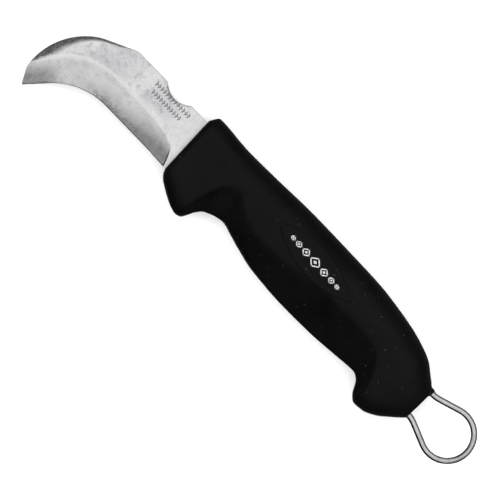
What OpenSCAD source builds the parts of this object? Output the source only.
// Lineman's skinning knife: a hawkbill blade moulded into a plastic handle, with a wire lanyard loop.
// The knife lies on its side. +X runs along the handle towards the blade's point, +Y towards the cutting
// edge and +Z up out of the printed side. The origin is the centre of the flat pad that it lies on.

/* [Blade] */
// Thickness of the blade and its tang
blade_t = 2.4; // [1.8:0.1:3]
// Height of the blade from spine to cutting edge
blade_h = 22.4; // [20:0.1:24]
// Straight run of the cutting edge before the hook
edge_run = 31; // [28:1:34]
// Radius of the hook's cutting edge
hook_r = 27; // [25:1:29]
// Angle that the hook's cutting edge turns through
hook_turn = 49; // [44:1:52]
// Last straight run of cutting edge, up to the point
point_run = 10; // [8:0.5:12]
// Width of the ground bevel on the straight run
bevel_w = 9.4; // [7:0.2:11]
// Thickness left at the cutting edge
edge_t = 0.2; // [0.1:0.05:0.4]
// Depth of the wire notch in the spine
notch_depth = 2.5; // [1.5:0.1:3]

/* [Handle] */
// Length of the handle behind the blade's shoulders
handle_len = 127; // [120:0.5:135]
// Height of the grip at its widest, between guard and butt
grip_h = 31.3; // [29:0.1:34]
// Thickness of the grip at its widest
grip_t = 21; // [19:0.5:24]
// How far the front face leans back towards the edge side, in degrees
front_lean = 3.4; // [0:0.2:5]
// Rounding of the front face's rim
front_r = 2.6; // [1.5:0.1:3]
// Length of the raised flat pad on each side
pad_len = 39; // [32:0.5:44]
// Width of the raised flat pad
pad_w = 11.5; // [8:0.5:13]
// Height of the pad above the thickest part of the grip
pad_rise = 0.3; // [0.2:0.1:0.6]

/* [Lanyard loop] */
// Diameter of the wire
wire_d = 2.4; // [2:0.1:3]
// Centre-line radius of the loop's round end
loop_r = 9.8; // [8.5:0.1:11]
// Distance between the centre lines of the two legs in the handle
leg_gap = 11.6; // [10:0.2:12]
// Angle that each leg flares outwards
leg_flare = 19.5; // [15:0.5:24]
// Length of straight leg moulded into the butt
leg_in = 14; // [10:1:18]

/* [Hidden] */
$fn = 64;

// The tang's middle line is y = 0 and the shoulders meet the handle at x = 0.
edge_y = blade_h / 2 + 0.25;
spine_y = edge_y - blade_h;
half_t = blade_t / 2;

// ---- smooth curves -------------------------------------------------------------------------

// Rise of segment i of a list of [position, value] pairs.
function rise(p, i) = (p[i + 1].y - p[i].y) / (p[i + 1].x - p[i].x);

// Tangent at pair i: level at a peak or hollow, so that the curve never overshoots its pairs.
function tangent(p, i) =
    i == 0 ? rise(p, 0)
    : i == len(p) - 1 ? rise(p, i - 1)
    : rise(p, i - 1) * rise(p, i) <= 0 ? 0
    : 2 * rise(p, i - 1) * rise(p, i) / (rise(p, i - 1) + rise(p, i));

// Cubic between pair i and the next.
function cubic(p, i, at) =
    let (w = p[i + 1].x - p[i].x, t = (at - p[i].x) / w)
    p[i].y * (1 + 2 * t) * (1 - t) * (1 - t) + tangent(p, i) * w * t * (1 - t) * (1 - t)
    + p[i + 1].y * t * t * (3 - 2 * t) + tangent(p, i + 1) * w * t * t * (t - 1);

// Value at a position of the smooth curve through a list of [position, value] pairs.
function curve_at(p, at) =
    let (last = p[len(p) - 1].x, a = min(max(at, p[0].x), last))
    cubic(p, [for (k = [0 : len(p) - 2]) if (a <= p[k + 1].x) k][0], a);

// ---- outlines walked out of straight runs and arcs -------------------------------------------

// A leg is [length, 0] for a straight run, or [radius, turn] for an arc of turn degrees, positive to the left.
// Stations are spaced by about arc_step on an arc and by straight_step on a straight run.
arc_step = 1.2;
straight_step = 5;

// Stations [point, heading] along one leg.
function leg_stations(p, a, leg) =
    let (turn = leg[1],
         n = ceil(turn == 0 ? leg[0] / straight_step : leg[0] * abs(turn) * PI / 180 / arc_step))
    [for (i = [1 : n]) let (f = i / n)
        turn == 0 ? [p + f * leg[0] * [cos(a), sin(a)], a]
        : [p + sign(turn) * leg[0] * [sin(a + f * turn) - sin(a), cos(a) - cos(a + f * turn)], a + f * turn]];

// Stations along all the legs, from point p with heading a.
function walk(p, a, legs, i = 0) =
    i == len(legs) ? [[p, a]]
    : let (s = leg_stations(p, a, legs[i]), end = s[len(s) - 1])
      concat([[p, a]], [for (k = [0 : 1 : len(s) - 2]) s[k]], walk(end[0], end[1], legs, i + 1));

// Length of a path up to station i.
function distance_along(path, i) =
    i == 0 ? 0 : norm(path[i][0] - path[i - 1][0]) + distance_along(path, i - 1);

// A path's stations half-way between its own, with a run of length ahead straight past each end.
function between(path, ahead) =
    let (last = len(path) - 1, a0 = path[0][1], a1 = path[last][1])
    concat([[path[0][0] - ahead * [cos(a0), sin(a0)], a0]],
           [for (i = [1 : last]) (path[i - 1] + path[i]) / 2],
           [[path[last][0] + ahead * [cos(a1), sin(a1)], a1]]);

// Closed solid through a list of sections that all have the same number of points. Their points run round the
// line through the sections by the right-hand rule, or else left_handed is true.
module skin(sections, left_handed = false) {
    n = len(sections[0]);
    last = len(sections) - 1;
    points = [for (s = sections) each s];
    walls = [for (i = [0 : last - 1], k = [0 : n - 1])
        let (a = i * n + k, b = i * n + (k + 1) % n)
        each [[a, b, b + n], [a, b + n, a + n]]];
    caps = [[for (k = [n - 1 : -1 : 0]) k], [for (k = [0 : n - 1]) last * n + k]];
    faces = concat(walls, caps);
    turned = [for (f = faces) [for (k = [len(f) - 1 : -1 : 0]) f[k]]];
    polyhedron(points, left_handed ? faces : turned, convexity = 6);
}

// ---- blade ---------------------------------------------------------------------------------

corner_x = 36.4;
hook_back = [[1.5, 25.5], [12, 0], [22, 19], [26.6, 55.5]];
heel_lean = 2.2;
heel_run = 9;
heel_r = 30;

// x of the handle's front face at a height y.
function front_x(y) = -y * tan(front_lean);

heel_y = edge_y + heel_run * sin(heel_lean) + heel_r * (1 - cos(heel_lean));
heel_reach = heel_run * cos(heel_lean) + heel_r * sin(heel_lean);
edge_path = walk([front_x(heel_y), heel_y], -heel_lean, [
    [heel_run, 0], [heel_r, heel_lean], [edge_run - front_x(heel_y) - heel_reach, 0], [hook_r, hook_turn],
    [point_run, 0]]);
back_path = walk([corner_x, spine_y], 0, hook_back);

// Width of the ground bevel by distance along the cutting edge.
bevel_widths = [[0, bevel_w], [30, bevel_w + 0.2], [43, bevel_w + 1.5], [52, bevel_w + 0.4],
                [65, bevel_w - 2.1]];
// Width of the rolled-off back of the hook by distance along it.
back_widths = [[0, 0.6], [14, 0.8], [22, 2.4], [30, 3.8], [44, 3.4]];
back_edge_t = 1.5;

notch_x = 15.3;
notch_r = 8.7;
plunge_r = 20;
plunge_centre = [20.7, edge_y + 3.5];
plunge_ramp = 1.4;
// Side of the square that takes in the whole blade ahead of the plunge.
ahead_size = 90;
shoulder_r = 1;

tang_len = 88;
tang_h = 13;
tang_end_h = 9;
tang_point = 2;
tang_lap = 1;
tang_hole_r = 2.5;
tang_holes = [-24, -46, -68];

// The blade ahead of the handle, seen from the side.
module blade_outline() {
    edge = [for (s = edge_path) s[0]];
    back = [for (i = [len(back_path) - 1 : -1 : 0]) back_path[i][0]];
    heel = [[front_x(spine_y) + shoulder_r, spine_y], [front_x(spine_y), spine_y + shoulder_r]];
    difference() {
        polygon(concat(edge, back, heel));
        translate([notch_x, spine_y + notch_depth - notch_r]) circle(notch_r);
    }
}

// The tang, from just inside the blade, with the holes that the handle's plastic flows through.
module tang_outline() {
    difference() {
        polygon([[tang_lap, -tang_h / 2], [tang_point - tang_len, -tang_end_h / 2], [-tang_len, 0],
                 [tang_point - tang_len, tang_end_h / 2], [tang_lap, tang_h / 2]]);
        for (x = tang_holes) translate([x, 0]) circle(tang_hole_r);
    }
}

// Cuts the upper face back to a slope that starts width inside the path and leaves half_left at the path.
// side is -1 where the blade lies to the right of the path's heading, and 1 where it lies to the left.
module ground_slope(path, widths, half_left, side) {
    over = 1;
    ahead = 3;
    top = 2 * blade_t;
    function inward(a) = side * [-sin(a), cos(a)];
    function section(s, w) =
        let (slope = (half_t - half_left) / w,
             outer = s[0] - over * inward(s[1]),
             inner = s[0] + (w + over) * inward(s[1]))
        [[outer.x, outer.y, half_left - slope * over], [inner.x, inner.y, half_t + slope * over],
         [inner.x, inner.y, top], [outer.x, outer.y, top]];
    stations = between(path, ahead);
    sections = [for (i = [0 : len(stations) - 1])
        section(stations[i], curve_at(widths, distance_along(stations, i) - ahead))];
    skin(sections, side < 0);
}

module blade() {
    color("silver") difference() {
        linear_extrude(blade_t, center = true) {
            blade_outline();
            tang_outline();
        }
        for (up = [0, 1]) mirror([0, 0, up]) {
            intersection() {
                ground_slope(edge_path, bevel_widths, edge_t / 2, -1);
                bevel_reach();
            }
            ground_slope(back_path, back_widths, back_edge_t / 2, 1);
        }
    }
}

// Everything ahead of the curved line where the bevel runs out in front of the handle.
module bevel_reach() {
    translate([plunge_centre.x, plunge_centre.y, 0])
        cylinder(2 * blade_t, r1 = plunge_r - plunge_ramp, r2 = plunge_r + 2 * plunge_ramp);
    translate([plunge_centre.x, -ahead_size / 2, -1]) cube([ahead_size, ahead_size, 2 * blade_t]);
}

// ---- handle --------------------------------------------------------------------------------

// Length and height of the grip that the lists below are written for.
listed_len = 127;
listed_h = 31.3;
len_k = handle_len / listed_len;
grip_k = grip_h / listed_h;

// Pairs of [distance behind the front face, height above the tang's middle line] along the handle's back.
back_line = [[0, 15.4], [4, 15.35], [18, 14.5], [30, 14.8], [52, 15.6], [76, 15.4], [86, 15.1],
             [94, 14.3], [106, 12.4], [114, 10.2], [118, 8.5], [122, 5.6], [127, 1.9]];
// The same along the belly, with the guard, the finger groove and the butt's hook.
belly_line = [[0, 14], [1.2, 14.6], [5, 16.8], [9, 18.9], [12.1, 20.1], [14.4, 20.5], [16.5, 20],
              [17.6, 18.6], [19.5, 14.9], [22, 12.3], [29.5, 10.1], [34, 11.2], [40, 12.8], [50, 14.8],
              [66, 15.7], [80, 15.4], [92, 14.4], [101.5, 13.6], [104.2, 15], [107.5, 20], [110, 21.6],
              [114, 21.2], [119, 18.8], [123, 15.4], [127, 11.9]];
// Height, above the middle line, at which the handle is thickest: towards the back, then down to the butt.
ridge_line = [[0, 1], [20, 3], [60, 3.6], [95, 2.5], [127, -4.8]];
// Half of the handle's thickness.
side_line = [[0, 0.88], [22, 0.91], [42, 0.97], [60, 1], [85, 0.99], [106, 0.94], [116, 0.87], [122, 0.76],
             [127, 0.6]];
// Squareness of the section towards the back and towards the belly: 2 is an ellipse, and more is squarer.
back_square = [[0, 3.2], [22, 2.6], [60, 2.3], [127, 2.4]];
belly_square = [[0, 3.6], [12, 3.2], [24, 2.5], [100, 2.5], [127, 2.6]];
// How far the back is drawn in behind the front face, which slopes away above the blade's spine.
back_slope = [[0, 3.4], [1.9, 0.4], [2.6, 0]];
// Height from which each side slopes away to the belly as a facet, which scoops out the finger groove.
facet_line = [[0, 26], [13, 23], [15.3, 14.5], [17.7, 6], [21, -1.5], [25, -4.2], [30, -1.2], [36, 1.4],
              [42, 2.4], [56, 1.8], [77, -1], [94, -0.9], [101, 0.4], [107, 7], [111, 16], [127, 26]];
facet_slope = 0.6;
facet_rise = 0.8;
facet_bend = 1.6;
facet_blend = 0.5;

section_points = 32;
lean_fades_over = 25;
butt_r = 0.9;

// How far the surface is drawn in at a distance d from an end whose rim is rounded by r.
function drawn_in(d, r) = d >= r ? 0 : r - sqrt(r * r - (r - d) * (r - d));

// The part of t above 0, with its corner rounded over about r.
function above_zero(t, r) = (t + sqrt(t * t + r * r)) / 2;

// The lower of two heights, blended over about r where they meet.
function lower_of(a, b, r) = (a + b - sqrt((a - b) * (a - b) + r * r)) / 2;

// Half-thickness at a height y: full is the section's own, and the facet cuts it down towards the belly.
function faceted(d, y, half, full) =
    let (facet = half + facet_rise - facet_slope * above_zero(y - curve_at(facet_line, d), facet_bend))
    lower_of(full, facet, facet_blend * min(1, full / 2));

// Point of the section at distance d behind the front face, k of section_points round from the back.
function section_point(d, k) =
    let (a = 360 * k / section_points,
         butt_rim = drawn_in(listed_len - d, butt_r),
         inset = drawn_in(d, front_r) + butt_rim,
         towards_back = cos(a) > 0,
         ridge = -curve_at(ridge_line, d),
         reach = towards_back ? curve_at(back_line, d) + ridge - curve_at(back_slope, d) - butt_rim
             : curve_at(belly_line, d) - ridge - inset,
         e = 2 / curve_at(towards_back ? back_square : belly_square, d),
         y = grip_k * (ridge - sign(cos(a)) * reach * pow(abs(cos(a)), e)),
         half = grip_t / 2 * curve_at(side_line, d),
         z = sign(sin(a)) * faceted(d, y, half, (half - inset) * pow(abs(sin(a)), e)))
    [-d * len_k - y * tan(front_lean) * max(0, 1 - d / lean_fades_over), y, z];

// Distances of the sections, closer together where the outline turns quickly.
section_places = concat([0, 0.25, 0.8, 1.6], [for (d = [2.6 : 1.3 : 30]) d], [for (d = [32 : 3.6 : 100]) d],
                        [for (d = [101.5 : 1.2 : 125.5]) d], [126.1, 126.4, 126.8, listed_len]);

pad_at = [-63.2, -3.8];
pad_turn = -2.65;
pad_z = grip_t / 2 + pad_rise;

// Raised flat pad with pointed ends, the same on both sides of the handle.
module pad() {
    sag = pad_w / 2;
    r = (pad_len * pad_len / 4 + sag * sag) / (2 * sag);
    translate([pad_at.x, pad_at.y, 0]) rotate([0, 0, pad_turn])
        intersection() {
            translate([0, r - sag, 0]) cylinder(2 * pad_z, r = r, center = true);
            translate([0, sag - r, 0]) cylinder(2 * pad_z, r = r, center = true);
        }
}

module handle() {
    color([0.05, 0.05, 0.055]) difference() {
        union() {
            skin([for (d = section_places) [for (k = [0 : section_points - 1]) section_point(d, k)]]);
            pad();
            at_butt() for (side = [-1, 1]) translate([-collar_in, side * leg_gap / 2, 0])
                rotate([0, 90, 0]) cylinder(collar_in + collar_out, r = wire_d / 2 + collar_wall);
        }
        linear_extrude(blade_t, center = true) tang_outline();
        at_butt() wire();
    }
}

// ---- lanyard loop --------------------------------------------------------------------------

butt_at = [-handle_len, 4.5];
butt_turn = 178.1;
collar_in = 1.5;
collar_out = 0.3;
collar_wall = 0.35;
flare_r = 11;
foot_bend_r = 3;
foot_len = 4;

// Places its children in the frame of the butt: +X out of the handle along the loop's middle line.
module at_butt() {
    translate([butt_at.x, butt_at.y, 0]) rotate([0, 0, butt_turn]) children();
}

// The wire's middle line: a foot turned outwards in the plastic so that the leg can't pull out, a straight
// leg, a flare and a straight run outside the butt, the round end, and the same again in reverse.
leg_y = leg_gap / 2;
flare_y = leg_y + flare_r * (1 - cos(leg_flare));
flare_run = (loop_r * cos(leg_flare) - flare_y) / sin(leg_flare);
foot = [-leg_in - foot_bend_r, -leg_y - foot_bend_r - foot_len];
wire_path = walk(foot, 90, [
    [foot_len, 0], [foot_bend_r, -90], [leg_in, 0], [flare_r, -leg_flare], [flare_run, 0],
    [loop_r, 180 + 2 * leg_flare],
    [flare_run, 0], [flare_r, -leg_flare], [leg_in, 0], [foot_bend_r, -90], [foot_len, 0]]);
wire_sides = 16;

// Point k round the wire at station s of its middle line.
function wire_point(s, k) =
    let (b = 360 * (k + 0.5) / wire_sides, side = s[0] + wire_d / 2 * cos(b) * [-sin(s[1]), cos(s[1])])
    [side.x, side.y, wire_d / 2 * sin(b)];

// The whole wire, in the frame of the butt.
module wire() {
    skin([for (s = wire_path) [for (k = [0 : wire_sides - 1]) wire_point(s, k)]]);
}

module lanyard_loop() {
    color("gainsboro") at_butt() wire();
}

// Moves the design into the part's frame, with the lower pad's centre at the origin.
module in_frame() {
    translate([-pad_at.x, -pad_at.y, pad_z]) children();
}

in_frame() blade();
in_frame() handle();
in_frame() lanyard_loop();
